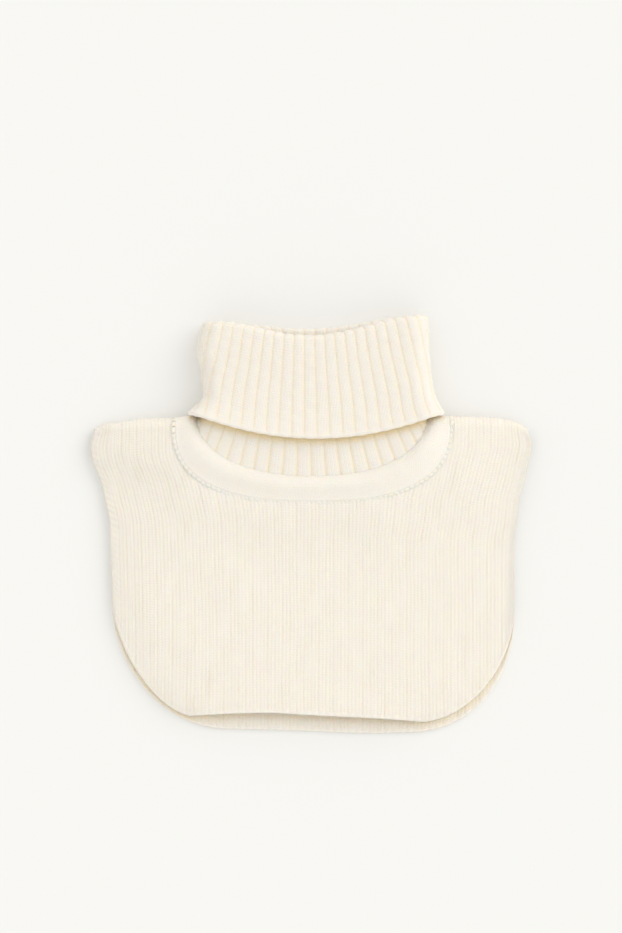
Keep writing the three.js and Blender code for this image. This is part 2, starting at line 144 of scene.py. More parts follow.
def read_table(rows, column, place):
    """A smooth curve through a table's rows, read at places in its first column."""
    keys, values = rows[:, 0], rows[:, column]
    slopes = np.empty(len(keys))
    slopes[1:-1] = (values[2:] - values[:-2]) / (keys[2:] - keys[:-2])
    slopes[0] = (values[1] - values[0]) / (keys[1] - keys[0])
    slopes[-1] = (values[-1] - values[-2]) / (keys[-1] - keys[-2])
    at = np.clip(place, keys[0], keys[-1])
    i = np.clip(np.searchsorted(keys, at, side="right") - 1, 0, len(keys) - 2)
    span = keys[i + 1] - keys[i]
    t = (at - keys[i]) / span
    return (
        values[i] * (1 + 2 * t) * (1 - t) ** 2
        + slopes[i] * span * t * (1 - t) ** 2
        + values[i + 1] * t**2 * (3 - 2 * t)
        + slopes[i + 1] * span * t**2 * (t - 1)
    )


# Soft uneven waves. Columns: height, length, seed
WAVES = {
    "panel_sideways": (0.35, 60, 11),
    "panel_up": (0.3, 52, 12),
    "panel_face_short": (0.1, 7, 5),
    "panel_face_long": (0.1, 19, 6),
    "panel_lines": (0.3, 8, 41),
    "collar_face_short": (0.12, 8, 21),
    "collar_face_long": (0.12, 24, 22),
    "band_face": (0.12, 17, 31),
}
WAVE_COUNT = 6
WAVE_STRETCH = (0.7, 1.5)
WAVE_DIVIDER = 3.5


def uneven(name, x, y):
    """The named waves at places over a surface, the same on every run."""
    height, length, seed = WAVES[name]
    rng = np.random.default_rng(seed)
    total = 0
    for _ in range(WAVE_COUNT):
        angle, stretch = rng.uniform(0, math.tau), rng.uniform(*WAVE_STRETCH)
        phase = rng.uniform(0, math.tau)
        run = x * math.cos(angle) + y * math.sin(angle)
        total = total + np.sin(math.tau * run / (length * stretch) + phase)
    return height * (total / WAVE_DIVIDER)


# The panels

def hem_line(hem, x):
    """Height of a panel's lower edge at places across."""
    left_x, left_y, left_blunt = hem["left"]
    right_x, right_y, right_blunt = hem["right"]
    bottom = read_table(hem["bottom"], 1, x)
    is_left = x < left_x
    corner_y = np.where(is_left, left_y, right_y)
    blunt = np.where(is_left, left_blunt, right_blunt)
    width = np.where(is_left, left_x - LEFT_EDGE, RIGHT_EDGE - right_x)
    past = np.where(is_left, left_x - x, x - right_x)
    across = np.clip(past / width, 0, 1)
    return corner_y - (corner_y - bottom) * (1 - across**blunt) ** (1 / blunt)


def side_reach(hem, x, y):
    """Half width of the panel at a height, on the side that a point lies on."""
    is_left = x < 0
    straight = np.abs(np.where(is_left, read_table(SIDE_EDGES, 1, y), read_table(SIDE_EDGES, 2, y)))
    reach = straight
    for side, edge, mask in (("left", LEFT_EDGE, is_left), ("right", RIGHT_EDGE, ~is_left)):
        corner_x, corner_y, blunt = hem[side]
        depth = corner_y - read_table(hem["bottom"], 1, corner_x)
        down = np.clip((corner_y - y) / depth, 0, 1)
        curved = abs(corner_x) + abs(edge - corner_x) * (1 - down**blunt) ** (1 / blunt)
        reach = np.where(mask & (y < corner_y), curved, reach)
    return reach


def rib_line(column, y):
    """Place across of the rib line that starts at x = column by the hem."""
    is_left = column < 0
    edge = np.where(is_left, LEFT_EDGE, RIGHT_EDGE)
    low = np.minimum(y, LEAN_TOP)
    lean = np.where(is_left, read_table(SIDE_EDGES, 1, low), read_table(SIDE_EDGES, 2, low))
    side = np.where(is_left, read_table(SIDE_EDGES, 1, y), read_table(SIDE_EDGES, 2, y))
    share = column / edge
    outer = (side - lean) * smooth((share - OUTER_RIBS) / (1 - OUTER_RIBS))
    return column + (lean - edge) * smooth(share / LEAN_START) + outer


def neck_share(x, y, drop):
    """Distance from the middle of the neckline, 1 on the neck seam."""
    across = np.abs(x) / np.where(x < 0, -NECK_SEAM["left"], NECK_SEAM["right"])
    down = np.maximum(0, NECK_SEAM["side"] - y) / drop
    blunt = NECK_SEAM["blunt"]
    return (across**blunt + down**blunt) ** (1 / blunt)


SIDE_FLATNESS = 4
NECK_RISE_REACH = 0.45
HOLLOW = {"x": -104, "y": 24, "half_width": 26, "half_height": 12.5, "depth": 2.4}


def front_height(x, y):
    """Height of the front panel's middle: it rises from the sides and to the neck, and has one hollow."""
    side_share = np.clip(np.abs(x) / side_reach(FRONT_HEM, x, y), 0, 1)
    body = FRONT_EDGE_Z + (FRONT_MIDDLE_Z - FRONT_EDGE_Z) * (1 - side_share**SIDE_FLATNESS)
    away = np.maximum(0, neck_share(x, y, NECK_SEAM["front_drop"]) - 1) / NECK_RISE_REACH
    rise = (FRONT_NECK_Z - FRONT_MIDDLE_Z) * np.exp(-(away**2))
    across, up = (x - HOLLOW["x"]) / HOLLOW["half_width"], (y - HOLLOW["y"]) / HOLLOW["half_height"]
    hollow = HOLLOW["depth"] * np.exp(-(across**2) - up**2)
    return np.maximum(body + rise - hollow, FRONT_LOWEST_Z)


FRONT_SHARE = 0.7
TURN_SHARE = 0.2


def front_sheet(column, along):
    """The front panel's middle: up the front, over the shoulder fold and down to the shoulder seam."""
    hem = hem_line(FRONT_HEM, column)
    top = rib_line(column, SHOULDER_TIP)
    fold = read_table(SHOULDER_LINE, 1, top) - BIB_WALL / 2
    thick = front_height(top, fold - (FRONT_NECK_Z - BACK_Z) / 2) - BACK_Z
    radius = np.maximum(TIP_RADIUS, thick / 2)
    turn = fold - radius
    y = hem + (turn - hem) * np.clip(along / FRONT_SHARE, 0, 1)
    x = np.where(along <= FRONT_SHARE, rib_line(column, y), top)
    blend_in = smooth((y - turn + FOLD_BLEND) / FOLD_BLEND)
    z = front_height(x, y) * (1 - blend_in) + (BACK_Z + 2 * radius) * blend_in
    angle = np.clip(math.pi * (along - FRONT_SHARE) / TURN_SHARE, 0, math.pi)
    turning = along > FRONT_SHARE
    y = np.where(turning, turn + radius * np.sin(angle), y)
    z = np.where(turning, BACK_Z + radius * (1 + np.cos(angle)), z)
    rest = np.clip((along - FRONT_SHARE - TURN_SHARE) / (1 - FRONT_SHARE - TURN_SHARE), 0, 1)
    y = y + (fold + BIB_WALL - SHOULDER_TURN - turn) * rest
    return np.stack([x, y, z], axis=-1)


def back_sheet(column, along):
    """The back panel's middle, which lies flat from its hem up to the shoulder seam."""
    hem = hem_line(BACK_HEM, column)
    top = rib_line(column, SHOULDER_TIP)
    seam = read_table(SHOULDER_LINE, 1, top) - SHOULDER_TURN
    y = hem + (seam - hem) * along
    return np.stack([rib_line(column, y), y, np.full_like(y, BACK_Z)], axis=-1)


# Rings round the neck

LOOP_STEPS = 120
SIDE_ROUNDING = 0.12
FLAT_SHARE = 0.8


def neck_loop(row):
    """One ring as a closed line: a flattened tube that starts at the centre front and runs towards +X."""
    part = np.arange(LOOP_STEPS) / LOOP_STEPS
    out = np.concatenate([part, 1 - part, part, 1 - part])
    face = np.repeat([1, -1, -1, 1], LOOP_STEPS)
    handed = np.repeat([1, 1, -1, -1], LOOP_STEPS)
    centre, half = (row["left"] + row["right"]) / 2, (row["right"] - row["left"]) / 2
    radius, middle_z = (row["front_z"] - row["back_z"]) / 2, (row["front_z"] + row["back_z"]) / 2
    bend = np.clip((out - FLAT_SHARE) / (1 - FLAT_SHARE), 0, 1) * math.pi / 2
    reach = (half - radius) * np.clip(out / FLAT_SHARE, 0, 1) + radius * np.sin(bend)
    share = np.clip(reach / half, 0, 1)
    dip = (1 - share ** row["blunt"]) ** row["power"]
    eased = (np.hypot(dip, SIDE_ROUNDING) - SIDE_ROUNDING) / (math.hypot(1, SIDE_ROUNDING) - SIDE_ROUNDING)
    drop = np.where(face > 0, row["front_drop"], row["back_drop"]) * eased
    y = row["side"] + handed * share * row["tilt"] - drop
    return np.stack([centre + handed * reach, y, middle_z + face * radius * np.cos(bend)], axis=-1)


OVER_FOLD_STEPS = 17


def seam_loop():
    """The neckline's edge as a closed line, over both shoulder folds."""
    side, blunt = NECK_SEAM["side"], NECK_SEAM["blunt"]
    radius = (NECK_SEAM["front_z"] - NECK_SEAM["back_z"]) / 2
    middle_z = (NECK_SEAM["front_z"] + NECK_SEAM["back_z"]) / 2
    angle = np.arange(LOOP_STEPS) / LOOP_STEPS * math.pi / 2

    def quarter(edge, face, drop):
        turn = read_table(SHOULDER_LINE, 1, np.array([edge]))[0] - BIB_WALL / 2 - radius
        last = math.asin(min(1, max(0, (side - turn) / radius)))
        y = side - drop * np.cos(angle) ** (2 / blunt)
        over_fold = np.linspace(last, math.pi / 2, OVER_FOLD_STEPS)
        over = np.concatenate([np.arcsin(np.clip((y - turn) / radius, 0, 1)), over_fold])
        x = np.concatenate([edge * np.sin(angle) ** (2 / blunt), np.full(OVER_FOLD_STEPS, edge)])
        y = np.concatenate([y, turn + radius * np.sin(over[LOOP_STEPS:])])
        return np.stack([x, y, middle_z + face * radius * np.cos(over)], axis=-1)

    left, right = NECK_SEAM["left"], NECK_SEAM["right"]
    front, back = NECK_SEAM["front_drop"], NECK_SEAM["back_drop"]
    in_order = [quarter(right, 1, front), quarter(right, -1, back)[::-1], quarter(left, -1, back)]
    in_order.append(quarter(left, 1, front)[::-1])
    return np.concatenate([points[:-1] for points in in_order])


def along_loop(loop, widen, turns):
    """Points of a closed line at shares of its length, from the middle rib of the front towards +X."""
    closed = np.vstack([loop, loop[:1]])
    lengths = np.concatenate([[0], np.cumsum(np.linalg.norm(np.diff(closed, axis=0), axis=1))])
    last = slice(-LOOP_STEPS, None)
    start = np.interp(RIB_START, closed[last, 0], lengths[last]) / lengths[-1]
    widened = turns + widen * np.sin(math.tau * turns) / math.tau
    want = np.mod(start + widened, 1) * lengths[-1]
    return np.stack([np.interp(want, lengths, closed[:, axis]) for axis in range(3)], axis=-1)


# Distances from a cloth's edge at which its grid has rows, close together where the edge is round
EDGE_ROWS = (0.0, 0.03, 0.12, 0.3, 0.6, 1.0, 1.5)


def ring_surface(rows, turns, spacing, end):
    """A grid through the rings and a little beyond both ends, with its own rows about spacing apart."""
    loops = np.stack([along_loop(neck_loop(row), row["widen"], turns) for row in rows])
    before_first, past_last = loops[0] - loops[1], loops[-1] - loops[-2]
    first = loops[0] + before_first * (end / np.linalg.norm(before_first, axis=-1, keepdims=True))
    last = loops[-1] + past_last * (end / np.linalg.norm(past_last, axis=-1, keepdims=True))
    loops = np.concatenate([first[None], loops, last[None]])
    gaps = np.linalg.norm(np.diff(loops, axis=0), axis=-1).mean(axis=1)
    knots = np.concatenate([[0], np.cumsum(gaps)])
    steps = np.diff(loops, axis=0) / gaps[:, None, None]
    before, after = gaps[:-1, None, None], gaps[1:, None, None]
    between = (steps[:-1] * after + steps[1:] * before) / (before + after)
    slopes = np.concatenate([steps[:1], between, steps[-1:]])
    count = int(round(knots[-1] / spacing))
    edge = np.array(EDGE_ROWS)
    inner = np.linspace(edge[-1], knots[-1] - edge[-1], count)[1:-1]
    at = np.concatenate([edge, inner, knots[-1] - edge[::-1]])
    i = np.clip(np.searchsorted(knots, at, side="right") - 1, 0, len(gaps) - 1)
    span = gaps[i][:, None, None]
    t = ((at - knots[i]) / gaps[i])[:, None, None]
    points = (
        loops[i] * (1 + 2 * t) * (1 - t) ** 2
        + slopes[i] * span * t * (1 - t) ** 2
        + loops[i + 1] * t**2 * (3 - 2 * t)
        + slopes[i + 1] * span * t**2 * (t - 1)
    )
    return points, at


# The knitted walls

def normals_of(grid, closed=False):
    """Unit normals of a grid of points. A closed grid's last column lies on its first."""
    if closed:
        grid = np.concatenate([grid[:, -2:-1], grid, grid[:, 1:2]], axis=1)
    normal = np.cross(np.gradient(grid, axis=1), np.gradient(grid, axis=0))
    normal = normal / np.maximum(np.linalg.norm(normal, axis=-1, keepdims=True), 1e-9)
    return normal[:, 1:-1] if closed else normal


def rounded(distance, wall):
    """Share of the full thickness at a distance from the cloth's edge, so that the edge is round."""
    inside = np.clip(distance / (wall / 2), 0, 1)
    return np.sqrt(1 - (1 - inside) ** 2)


def add_grid(bm, points, stitches, groove, holes):
    """Adds a mesh over a grid of points to bm, and returns the numbers of its faces that holes marks.

    Its UV map counts the stitches, and its groove attribute says how much golden painted shade each point
    gets, in the grooves and under the hems.
    """
    rows, columns = points.shape[:2]
    grid = bmesh.new()
    bmesh.ops.create_grid(grid, x_segments=columns - 1, y_segments=rows - 1, size=1)
    mesh = bpy.data.meshes.new("grid")
    grid.to_mesh(mesh)
    grid.free()
    flat = np.empty(len(mesh.vertices) * 3)
    mesh.vertices.foreach_get("co", flat)
    flat = flat.reshape(-1, 3)
    i = np.rint((flat[:, 0] + 1) / 2 * (columns - 1)).astype(int)
    j = np.rint((flat[:, 1] + 1) / 2 * (rows - 1)).astype(int)
    placed = points[j, i] * MM
    placed[:, 2] = np.maximum(placed[:, 2], 0)
    mesh.vertices.foreach_set("co", placed.ravel())
    corners = np.empty(len(mesh.loops), dtype=np.int32)
    mesh.loops.foreach_get("vertex_index", corners)
    mesh.uv_layers.new(name="stitches").data.foreach_set("uv", stitches[j, i][corners].ravel())
    mesh.attributes.new("groove", "FLOAT", "POINT").data.foreach_set("value", groove[j, i])
    first = len(bm.faces)
    bm.from_mesh(mesh)
    bpy.data.meshes.remove(mesh)
    if holes is None:
        return []
    cell_i, cell_j = i[corners].reshape(-1, 4).min(axis=1), j[corners].reshape(-1, 4).min(axis=1)
    return [first + int(k) for k in np.flatnonzero(holes[cell_j, cell_i])]


SAME_POINT = 2e-6


def knit_wall(name, middle, outer, inner, stitches, groove, closed=False, holes=None):
    """One knitted wall: its outer and inner face, which meet along the cloth's edges."""
    normal = normals_of(middle, closed)
    bm = bmesh.new()
    left_out = []
    for offset, depth in ((outer, groove[0]), (-inner, groove[1])):
        left_out += add_grid(bm, middle + normal * offset[..., None], stitches, depth, holes)
    bm.faces.ensure_lookup_table()
    bmesh.ops.delete(bm, geom=[bm.faces[k] for k in left_out], context="FACES")
    bmesh.ops.remove_doubles(bm, verts=bm.verts, dist=SAME_POINT)
    bmesh.ops.recalc_face_normals(bm, faces=bm.faces)
    return finished_piece(name, bm)


def finished_piece(name, bm):
    for face in bm.faces:
        face.smooth = True
    mesh = bpy.data.meshes.new(name)
    bm.to_mesh(mesh)
    bm.free()
    piece = bpy.data.objects.new(name, mesh)
    bpy.context.collection.objects.link(piece)
    return piece


def line_relief(phase, width):
    """The groove between two ribs, 1 in its middle, at a place across the ribs."""
    part = np.mod(phase, 1)
    return np.exp(-((np.minimum(part, 1 - part) / width) ** 2))


def swing(phase):
    """A wave from 0 to 1 that is 1 at whole numbers."""
    return 0.5 + 0.5 * np.cos(math.tau * phase)


def rib_relief(phase, width, wales):
    """Shares from 0 to 1 at a place across the ribs: the groove between ribs, and the lines between wales."""
    groove = line_relief(phase, width)
    return groove, swing(wales * np.mod(phase, 1)) * (1 - groove)


# The panels' grid, where it stops under the band, the shade below the front's hem, and how far from the edges
# the cloth's waves begin
BIB_WALES = 2
BIB_PARTS = (0.0, 0.13, 0.37, 0.5, 0.63, 0.87)
COLUMN_GAP = 0.3
UNDER_BAND = 0.955
LEAST_SHARE = 1e-6
BETWEEN_LAYERS = 0.7
HEM_SHADE = 2.0
HEM_SHADE_REACH = 7.0
CORNER_TOP = -20
SIDEWAYS_REACH = 6
UP_REACH = 25
UP_START_Z, UP_RANGE_Z = 4, 3

# Relief of the panels' faces: the groove between two ribs and the line between two wales, both as wide as
# LINE_WIDTH of a rib, and how they fade towards an edge
LINE_WIDTH = 0.11
OUTER_GROOVE, OUTER_LINE = 0.66, 0.48
INNER_GROOVE, INNER_LINE = 0.35, 0.7
# Painted shade in the lines between wales, as a share of the painted shade in the grooves
LINE_PAINTED_SHADE = 0.7
LINES_START, LINES_RANGE = 1.2, 1.0
LINES_LEVEL = 0.75
LINES_LENGTHEN = 3
LINES_AT_SIDE = 0.6

# The slanting stitches along a side edge, and the beads and the deeper row of holes along the hem
SIDE_STITCHES_END, SIDE_STITCHES_RANGE = 4.5, 2.5
SIDE_STITCH_DEPTH, SIDE_STITCH_PITCH, SIDE_STITCH_SLANT = 0.3, 3.9, 0.5
HEM_BEADS_END, HEM_BEADS_RANGE, HEM_BEAD_DEPTH = 1.6, 1.4, 0.35
HEM_HOLES_AT, HEM_HOLES_RANGE, HEM_HOLES_GAIN = 2.4, 0.9, 0.5


def panel_columns():
    """Columns across a panel: six to a rib, and close together at the side edges."""
    edge = np.array(EDGE_ROWS)
    ribs = np.arange(math.floor(LEFT_EDGE / BIB_RIB), math.ceil(RIGHT_EDGE / BIB_RIB) + 1)
    inner = np.sort(((ribs[:, None] + np.array(BIB_PARTS)) * BIB_RIB).ravel())
    first, last = LEFT_EDGE + edge[-1] + COLUMN_GAP, RIGHT_EDGE - edge[-1] - COLUMN_GAP
    inner = inner[(inner > first) & (inner < last)]
    return np.concatenate([LEFT_EDGE + edge, inner, RIGHT_EDGE - edge[::-1]])


def open_neckline(middle):
    """Cells inside the neckline, and the grid with the neckline's edge moved onto its curve."""
    x, y, z = np.moveaxis(middle, -1, 0)
    split = (NECK_SEAM["front_z"] + NECK_SEAM["back_z"]) / 2
    share = neck_share(x, y, np.where(z > split, NECK_SEAM["front_drop"], NECK_SEAM["back_drop"]))
    cell = (share[1:, 1:] + share[:-1, 1:] + share[1:, :-1] + share[:-1, :-1]) / 4
    holes = cell < UNDER_BAND
    around = np.pad(holes, 1, mode="edge")
    some = around[1:, 1:] | around[:-1, 1:] | around[1:, :-1] | around[:-1, :-1]
    every = around[1:, 1:] & around[:-1, 1:] & around[1:, :-1] & around[:-1, :-1]
    edge = some & ~every
    to_curve = UNDER_BAND / np.maximum(share, LEAST_SHARE)
    scale = np.where(edge, to_curve, 1)
    moved = middle.copy()
    moved[..., 0] = x * scale
    below = y < NECK_SEAM["side"]
    moved[..., 1] = np.where(below, NECK_SEAM["side"] + (y - NECK_SEAM["side"]) * scale, y)
    reach = np.hypot(x, np.minimum(y - NECK_SEAM["side"], 0))
    away = np.where(edge, 0, reach * np.maximum(1 - to_curve, 0))
    return holes, moved, away


def panel_wall(name, sheet, rows, hem):
    """A panel with its ribs, from its hem to the shoulder seam, with the neckline left open."""
    columns = panel_columns()
    column, along = np.meshgrid(columns, rows)
    middle = sheet(column, along)
    holes, middle, to_neck = open_neckline(middle)
    x, y = middle[..., 0], middle[..., 1]
    below = hem_line(FRONT_HEM, column) - y
    shade = (below > 0) * smooth((HEM_SHADE_REACH - below) / HEM_SHADE_REACH) * HEM_SHADE
    to_side = np.minimum(column - LEFT_EDGE, RIGHT_EDGE - column)
    to_hem = np.maximum(y - hem_line(hem, column), 0)
    reach = np.maximum(side_reach(hem, x, y) - np.abs(x), 0)
    round_corner = reach * to_hem / np.maximum(np.hypot(reach, to_hem), LEAST_SHARE)
    to_edge = np.where(y < CORNER_TOP, round_corner, to_side)
    path = np.cumsum(np.linalg.norm(np.diff(middle, axis=0, prepend=middle[:1]), axis=-1), axis=0)
    to_top = path[-1:] - path
    away = np.minimum(np.minimum(to_edge, to_neck), to_top)
    away[[0, -1], :] = 0
    away[:, [0, -1]] = 0
    share = rounded(away, BIB_WALL)
    phase = column / BIB_RIB
    middle[..., 0] += uneven("panel_sideways", x, y) * smooth(away / SIDEWAYS_REACH)
    lifted = smooth((middle[..., 2] - UP_START_Z) / UP_RANGE_Z)
    middle[..., 2] += uneven("panel_up", x, y) * smooth(away / UP_REACH) * lifted
    fade = smooth((to_edge - LINES_START) / LINES_RANGE)
    groove, line = line_relief(phase, LINE_WIDTH), line_relief(phase + 0.5, LINE_WIDTH)
    near_side = 1 - smooth((to_side - SIDE_STITCHES_END) / SIDE_STITCHES_RANGE)
    slanting = near_side * swing((y + SIDE_STITCH_SLANT * to_side) / SIDE_STITCH_PITCH)
    bead = (1 - smooth((to_hem - HEM_BEADS_END) / HEM_BEADS_RANGE)) * swing(phase)
    face = BIB_WALL / 2 + (uneven("panel_face_short", x, y) + uneven("panel_face_long", x, y))
    face = face - SIDE_STITCH_DEPTH * slanting - HEM_BEAD_DEPTH * bead
    broken = LINES_LEVEL + uneven("panel_lines", x, y / LINES_LENGTHEN)
    by_hem = 1 + HEM_HOLES_GAIN * np.exp(-(((to_hem - HEM_HOLES_AT) / HEM_HOLES_RANGE) ** 2))
    relief = broken * fade * (1 - LINES_AT_SIDE * near_side)
    square = rounded(away, BETWEEN_LAYERS)
    is_front = sheet is front_sheet
    outer = face - (OUTER_GROOVE * groove + OUTER_LINE * line) * relief * by_hem
    inner = BIB_WALL / 2 - (INNER_LINE * line + INNER_GROOVE * groove) * fade
    outer, inner = outer * (share if is_front else square), inner * (square if is_front else share)
    stitches = np.stack([phase * (BIB_WALES + 1), path / ROW_HEIGHT], axis=-1)
    # Painted shade for the groove attribute: in the grooves and between wales, more by the hem's row of
    # holes, and below the front's hem; on the inner face in the lines between wales
    painted_shade = np.maximum((groove + LINE_PAINTED_SHADE * line) * relief * by_hem, shade)
    return knit_wall(name, middle, outer, inner, stitches, (painted_shade, line * fade), holes=holes)


def spread_rows(*stretches):
    """Places along a line, from stretches of (start, end, steps)."""
    parts = [np.linspace(start, end, steps, endpoint=False) for start, end, steps in stretches]
    return np.concatenate([*parts, [stretches[-1][1]]])


# Length of each panel along its ribs, and steps of its grid: up the front, over the fold and down behind it
FRONT_PATH = 236.0
BACK_PATH = 174.0
FRONT_STEPS = 112
TURN_STEPS = 12
BEHIND_STEPS = 6
SEAM_ROWS = (0.985, 0.995, 1)
BACK_STEPS = 96


def front_panel():
    edge = np.array(EDGE_ROWS) / FRONT_PATH
    behind = FRONT_SHARE + TURN_SHARE
    rows = np.concatenate([
        edge[:-1],
        spread_rows((edge[-1], FRONT_SHARE, FRONT_STEPS), (FRONT_SHARE, behind, TURN_STEPS)),
        np.linspace(behind, 1, BEHIND_STEPS)[1:-1],
        SEAM_ROWS,
    ])
    return panel_wall("bib_front_knit", front_sheet, rows, FRONT_HEM)


def back_panel():
    edge = np.array(EDGE_ROWS) / BACK_PATH
    rows = np.concatenate([edge[:-1], np.linspace(edge[-1], 1 - edge[-1], BACK_STEPS)[:-1], 1 - edge[::-1]])
    return panel_wall("bib_back_knit", back_sheet, rows, BACK_HEM)


# The collar
RIM_STEPS = 9
COLLAR_PARTS = (0.0, 0.07, 0.15, 0.3, 0.42, 0.5, 0.58, 0.7, 0.85, 0.93)
COLLAR_WALES = 3
COLLAR_ROW = 1.5
FOLD_SHADE = 3.0
SHADE_REACH = 7.5

# Grooves between the ribs and lines between the wales, on the face that shows on the stand and on the one
# that shows on the fold: the groove's width as a share of a rib, and both depths
STAND_WIDTH, STAND_GROOVE, STAND_LINE = 0.115, 0.95, 0.18
FOLD_WIDTH, FOLD_GROOVE, FOLD_LINE = 0.135, 0.6, 0.15
# Painted shade in the fold's grooves
FOLD_GROOVE_PAINTED_SHADE = 0.8
GROOVES_START, GROOVES_RANGE = 1.3, 1.6

# The fold's hem: how far each rib reaches below the grooves beside it, how much thicker it ends, and the
# number of rows over which the way down is read
RIB_END, RIB_END_REACH = 0.12, 4
RIB_SWELL, RIB_SWELL_REACH = 0.3, 3
DOWN_ROWS = 3


def rim_rows():
    """Rings of the rim: a half circle from the top of the stand out to the top of the fold."""
    inner, outer = STAND_ROWS[-1], FOLD_ROWS[0]
    radius = (outer["front_z"] - inner["front_z"]) / 2
    rows = []
    for part in np.arange(1, RIM_STEPS) / RIM_STEPS:
        share = (1 - math.cos(math.pi * part)) / 2
        row = {key: inner[key] + (outer[key] - inner[key]) * share for key in RING_COLUMNS}
        row["side"] += radius * math.sin(math.pi * part)
        rows.append(row)
    return rows


def fold_shade(x, y):
    """Golden painted shade on what lies under the fold's hem at the front, and a little below it."""
    loop = neck_loop(FOLD_ROWS[-1])
    front = loop[loop[:, 2] > NECK_SEAM["front_z"]]
    front = front[np.argsort(front[:, 0])]
    below = np.interp(x, front[:, 0], front[:, 1]) - y
    beside = (x > front[0, 0] - 1) & (x < front[-1, 0] + 1)
    return FOLD_SHADE * smooth((SHADE_REACH - below) / SHADE_REACH) * beside


def collar():
    """The ribbed stand and its turned-down fold, one piece of knitting."""
    ribs = np.arange(COLLAR_RIBS)[:, None] + np.array(COLLAR_PARTS)
    turns = np.append(ribs.ravel(), COLLAR_RIBS) / COLLAR_RIBS
    middle, at = ring_surface([*STAND_ROWS, *rim_rows(), *FOLD_ROWS], turns, COLLAR_ROW, COLLAR_WALL / 2)
    to_base, to_hem = at[:, None], (at[-1] - at)[:, None]
    down = middle[-1] - middle[-1 - DOWN_ROWS]
    down = down / np.linalg.norm(down, axis=-1, keepdims=True)
    rib_ends = -RIB_END * np.cos(math.tau * COLLAR_RIBS * turns) * (1 - smooth(to_hem / RIB_END_REACH))
    middle = middle + down * rib_ends[..., None]
    share = rounded(np.minimum(to_base, to_hem), COLLAR_WALL) + np.zeros_like(middle[..., 0])
    x, y = middle[..., 0], middle[..., 1]
    phase = np.broadcast_to(turns * COLLAR_RIBS, share.shape)
    stand_groove, stand_lines = rib_relief(phase + 0.5, STAND_WIDTH, COLLAR_WALES)
    fold_groove, fold_lines = rib_relief(phase, FOLD_WIDTH, COLLAR_WALES)
    fade = smooth((to_hem - GROOVES_START) / GROOVES_RANGE)
    face = COLLAR_WALL / 2 + (uneven("collar_face_short", x, y) + uneven("collar_face_long", x, y))
    swell = -RIB_SWELL * np.cos(math.tau * phase) * (1 - smooth(to_hem / RIB_SWELL_REACH))
    outer = (face - STAND_GROOVE * stand_groove * fade - STAND_LINE * stand_lines) * share
    inner = (face + swell - FOLD_GROOVE * fold_groove * fade - FOLD_LINE * fold_lines * fade) * share
    path = np.broadcast_to(at[:, None] / ROW_HEIGHT, share.shape)
    stitches = np.stack([phase * (COLLAR_WALES + 1), path], axis=-1)
    shade = fold_shade(x, y) * (at < at[-1] / 2)[:, None]
    # Painted shade for the groove attribute: on the face that shows on the stand, in its grooves and under
    # the fold's hem; on the face that shows on the fold, in its grooves
    painted_shade = (np.maximum(stand_groove * fade, shade), FOLD_GROOVE_PAINTED_SHADE * fold_groove * fade)
    return knit_wall("collar_knit", middle, outer, inner, stitches, painted_shade, closed=True)


# The neck band and its seam
BAND_TURNS = 440
BAND_STEPS = 26
BAND_EDGE_SHARE, BAND_EDGE_STEPS = 0.12, 5
WALE_WIDTH = 1.9


def seam_and_base(turns):
    """The band's two edges at shares of the way round: the neck seam, and where the stand begins."""
    seam = along_loop(seam_loop(), 0, turns)
    base = along_loop(neck_loop({**STAND_ROWS[0], "back_z": COLLAR_WALL / 2}), 0, turns)
    return seam, base


def pressed_flat(normal):
    """How far the knitting may bulge: freely where it faces up, not at all where it lies on the surface."""
    return smooth(normal[..., 2] / FACING_UP)


def neck_band():
    """The smooth jersey band, a convex strip from the neck seam to the base of the stand."""
    turns = np.linspace(0, 1, BAND_TURNS + 1)
    seam, base = seam_and_base(turns)
    low, high = BAND_EDGE_SHARE, 1 - BAND_EDGE_SHARE
    part = spread_rows((0, low, BAND_EDGE_STEPS), (low, high, BAND_STEPS), (high, 1, BAND_EDGE_STEPS))
    part = part[:, None, None]
    stop = 1 - BAND_INNER_STOP / np.linalg.norm(base - seam, axis=-1)
    strip = seam + (base - seam) * (stop[:, None] * part)
    normal = normals_of(strip, closed=True)
    crown = BAND_CROWN * pressed_flat(normal) * np.sin(math.pi * part[..., 0] ** CROWN_LEAN)
    middle = strip + normal * crown[..., None]
    width = np.linalg.norm(strip[-1] - strip[0], axis=-1)
    to_edge = np.minimum(part[..., 0], 1 - part[..., 0]) * width
    share = rounded(to_edge, COLLAR_WALL)
    length = np.linalg.norm(np.diff(seam, axis=0), axis=1).sum()
    wales = round(length / WALE_WIDTH)
    x, y, z = np.moveaxis(middle, -1, 0)
    thick = (COLLAR_WALL / 2 + uneven("band_face", x, y)) * share
    across, down = np.broadcast_to(turns * wales, share.shape), part[..., 0] * width / ROW_HEIGHT
    stitches = np.stack([across, down], axis=-1)
    shade = fold_shade(x, y) * (z > NECK_SEAM["front_z"] / 2)
    return knit_wall("neck_band_knit", middle, thick, thick, stitches, (shade, shade), closed=True)


# The linking seam: for each stitch a loop of yarn along the edge and one that crosses it. Columns: length,
# width, height, how far inside the edge, how far up, and how much further up where the seam faces up
LINK_PITCH = 3.36
EDGE_LOOP = (3.5, 1.2, 0.9, 1.2, 0.1, 0.5)
CROSS_LOOP = (2.8, 4.3, 1.0, 0.3, 0.25, 0.55)
EDGE_SLANT, CROSS_SLANT = 0.1, 0.2
LOOP_SIDES, LOOP_RINGS = 8, 6
LOOP_UNEVENNESS = 0.12
LOOP_SEED = 3
SHORT_TURN = 0.001


def add_link(bm, centre, long_axis, up, length, width, height):
    """One loop of yarn of the linking seam, as a rounded bead along long_axis."""
    side = long_axis.cross(up).normalized()
    lift = side.cross(long_axis).normalized()
    made = bmesh.ops.create_uvsphere(bm, u_segments=LOOP_SIDES, v_segments=LOOP_RINGS, radius=0.5)
    for vert in made["verts"]:
        local = vert.co.copy()
        place = centre + side * (local.x * width) + lift * (local.y * height)
        vert.co = (place + long_axis * (local.z * length)) * MM
        vert.co.z = max(vert.co.z, 0)


